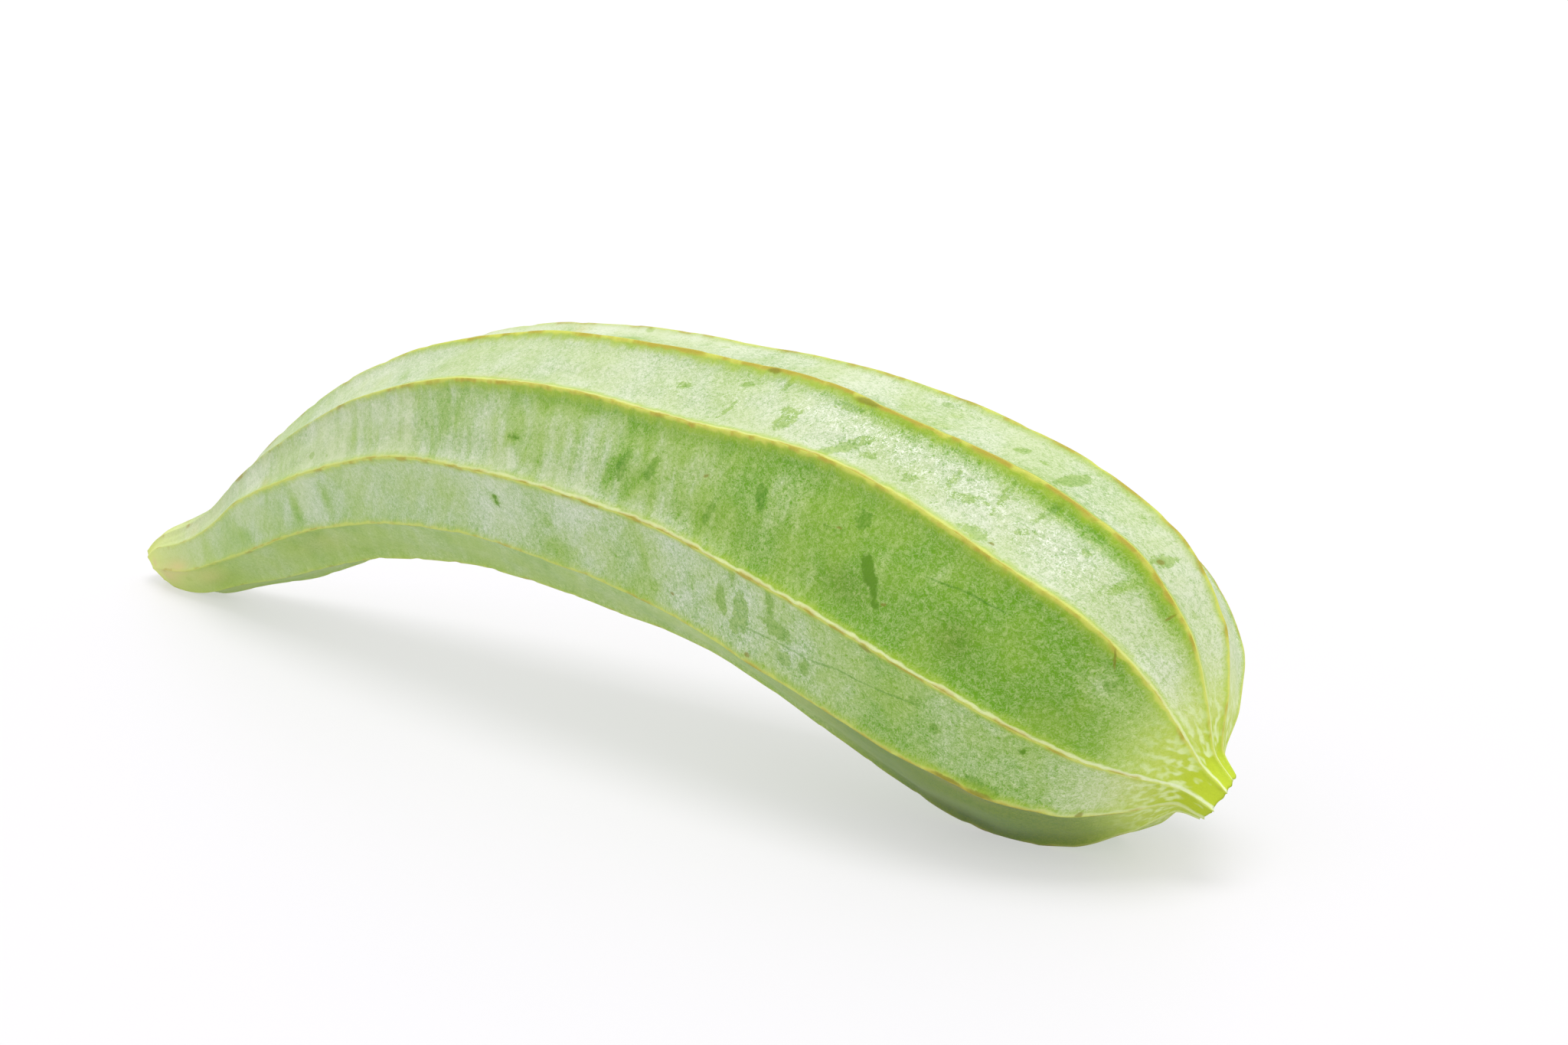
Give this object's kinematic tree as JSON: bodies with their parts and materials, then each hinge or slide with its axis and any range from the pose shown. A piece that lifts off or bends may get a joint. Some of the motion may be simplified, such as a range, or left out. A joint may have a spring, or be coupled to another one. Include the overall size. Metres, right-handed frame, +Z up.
{
  "type": "ridge gourd",
  "caption": "Whole picked ridge gourd, a curved club-shaped green fruit with sharp lengthwise ribs, a cut stem neck and a cut blossom end, lying as an arch.",
  "frame": {"origin": "on the surface the gourd lies on, under the centre of its bounding box", "axes": "+X runs along the fruit from the cut stem end to the blossom end, +Z is up, and the arch of the fruit stands in the XZ plane"},
  "size_m": [0.294, 0.0552, 0.0722],
  "materials": {
    "gourd_skin": "pale green felt-like bloom over a soft satin skin, with yellow-lime rib crests"
  },
  "bodies": {
    "root": {"gourd": "gourd_skin"}
  },
  "joints": []
}
